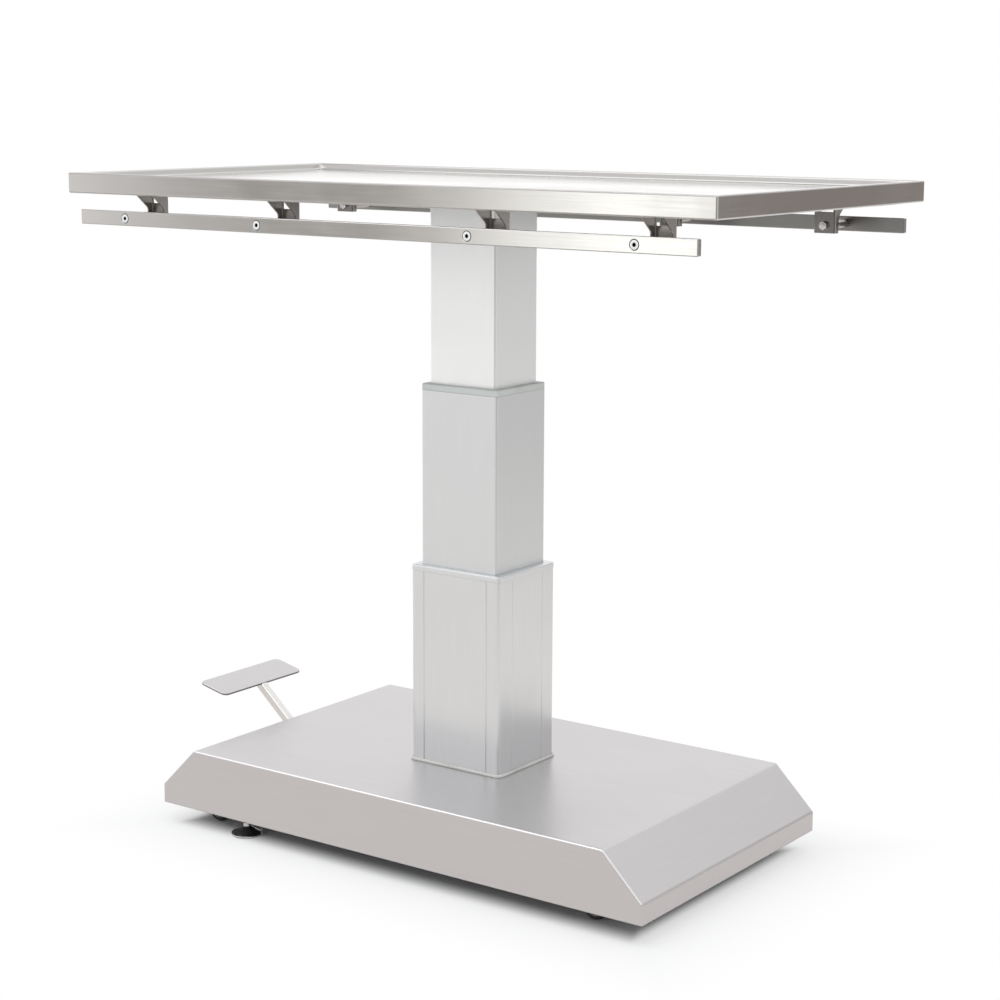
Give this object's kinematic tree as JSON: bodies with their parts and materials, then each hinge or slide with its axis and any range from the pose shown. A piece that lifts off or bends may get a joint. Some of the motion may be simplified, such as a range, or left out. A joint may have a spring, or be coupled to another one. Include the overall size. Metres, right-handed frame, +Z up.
{
  "type": "veterinary surgery table",
  "caption": "Stainless tray table with clamp rails on a telescopic column, raised by a foot pump in a folded base that stands on castors and levelling feet.",
  "frame": {"origin": "on the floor, under the middle of the table", "axes": "+X along the table, away from the pedal; +Y across the table; +Z up"},
  "size_m": [1.3, 0.67, 1.163],
  "materials": {
    "stainless": "fine brushed",
    "rail_steel": "satin, brushed along the rail",
    "bracket_steel": "dull satin",
    "bolt_steel": "bright",
    "column_aluminium": "brushed, anodised",
    "column_white": "pale satin coating",
    "collar_grey": "moulded, satin",
    "sealant": "smooth bead",
    "guide_plastic": "moulded",
    "painted_steel": "black powder coat",
    "pump_iron": "machined casting",
    "hard_chrome": "ground and chromed",
    "zinc": "zinc plated",
    "wheel_rubber": "matt tread"
  },
  "bodies": {
    "base": {"base_cover": "stainless", "base_plate": "painted_steel", "column_flange": "painted_steel", "outer_column": "column_aluminium", "outer_bezel": "column_aluminium", "foot_seal": "sealant", "ram_barrel": "painted_steel", "pump_body": "pump_iron", "oil_reservoir": "painted_steel", "pressure_pipe": "zinc", "suction_pipe": "zinc", "pedal_clevis": "pump_iron", "return_spring": "bolt_steel"},
    "mid_stage": {"mid_column": "column_white", "mid_collar": "collar_grey", "mid_guide": "guide_plastic", "ram_sleeve": "hard_chrome"},
    "top_stage": {"top_column": "column_white", "top_guide": "guide_plastic", "head_plate": "painted_steel", "ram_rod": "hard_chrome", "table_frame": "painted_steel", "table_tray": "stainless", "near_rail": "rail_steel", "far_rail": "rail_steel", "near_bracket_1": "bracket_steel", "near_bracket_2": "bracket_steel", "near_bracket_3": "bracket_steel", "near_bracket_4": "bracket_steel", "far_bracket_1": "bracket_steel", "far_bracket_2": "bracket_steel", "far_bracket_3": "bracket_steel", "far_bracket_4": "bracket_steel", "near_rail_bolt_1": "bolt_steel", "near_rail_bolt_2": "bolt_steel", "near_rail_bolt_3": "bolt_steel", "near_rail_bolt_4": "bolt_steel", "far_rail_bolt_1": "bolt_steel", "far_rail_bolt_2": "bolt_steel", "far_rail_bolt_3": "bolt_steel", "far_rail_bolt_4": "bolt_steel"},
    "pedal": {"pedal_plate": "stainless", "pedal_lever": "stainless", "pedal_shaft": "hard_chrome"},
    "plunger": {"pump_plunger": "hard_chrome"},
    "castor_1": {"castor_fork_1": "zinc", "castor_axle_1": "bolt_steel"},
    "castor_2": {"castor_fork_2": "zinc", "castor_axle_2": "bolt_steel"},
    "castor_3": {"castor_fork_3": "zinc", "castor_axle_3": "bolt_steel"},
    "castor_4": {"castor_fork_4": "zinc", "castor_axle_4": "bolt_steel"},
    "wheel_1": {"castor_wheel_1": "wheel_rubber"},
    "wheel_2": {"castor_wheel_2": "wheel_rubber"},
    "wheel_3": {"castor_wheel_3": "wheel_rubber"},
    "wheel_4": {"castor_wheel_4": "wheel_rubber"},
    "foot_1": {"levelling_foot_1": "hard_chrome"},
    "foot_2": {"levelling_foot_2": "hard_chrome"}
  },
  "joints": [
    {"name": "column_mid_lift", "type": "slide", "parent": "base", "child": "mid_stage", "axis": [0, 0, 1], "range_m": [-0.28, 0]},
    {"name": "column_top_lift", "type": "slide", "parent": "mid_stage", "child": "top_stage", "axis": [0, 0, 1], "range_m": [-0.28, 0]},
    {"name": "pedal_press", "type": "hinge", "parent": "base", "child": "pedal", "pos_m": [-0.413, 0, 0.0954], "axis": [0, -1, 0], "range_deg": [0, 20], "stiffness_Nm_per_rad": 4, "springref_deg": -34.38},
    {"name": "plunger_stroke", "type": "slide", "parent": "base", "child": "plunger", "axis": [1, 0, 0], "range_m": [0, 0.0066]},
    {"name": "castor_1_swivel", "type": "hinge", "parent": "base", "child": "castor_1", "pos_m": [-0.409, -0.213, 0.0537], "axis": [0, 0, 1], "continuous": true},
    {"name": "castor_2_swivel", "type": "hinge", "parent": "base", "child": "castor_2", "pos_m": [-0.409, 0.213, 0.0537], "axis": [0, 0, 1], "continuous": true},
    {"name": "castor_3_swivel", "type": "hinge", "parent": "base", "child": "castor_3", "pos_m": [0.409, -0.213, 0.0537], "axis": [0, 0, 1], "continuous": true},
    {"name": "castor_4_swivel", "type": "hinge", "parent": "base", "child": "castor_4", "pos_m": [0.409, 0.213, 0.0537], "axis": [0, 0, 1], "continuous": true},
    {"name": "wheel_1_roll", "type": "hinge", "parent": "castor_1", "child": "wheel_1", "pos_m": [-0.433, -0.213, 0.021], "axis": [0, 1, 0], "continuous": true},
    {"name": "wheel_2_roll", "type": "hinge", "parent": "castor_2", "child": "wheel_2", "pos_m": [-0.433, 0.213, 0.021], "axis": [0, 1, 0], "continuous": true},
    {"name": "wheel_3_roll", "type": "hinge", "parent": "castor_3", "child": "wheel_3", "pos_m": [0.385, -0.213, 0.021], "axis": [0, 1, 0], "continuous": true},
    {"name": "wheel_4_roll", "type": "hinge", "parent": "castor_4", "child": "wheel_4", "pos_m": [0.385, 0.213, 0.021], "axis": [0, 1, 0], "continuous": true},
    {"name": "foot_1_level", "type": "slide", "parent": "base", "child": "foot_1", "axis": [0, 0, 1], "range_m": [-0.01, 0.015]},
    {"name": "foot_2_level", "type": "slide", "parent": "base", "child": "foot_2", "axis": [0, 0, 1], "range_m": [-0.01, 0.015]}
  ],
  "couplings": [
    {"joint": "column_top_lift", "follows": "column_mid_lift", "ratio": 1},
    {"joint": "plunger_stroke", "follows": "pedal_press", "m_per_rad": 0.01869}
  ]
}
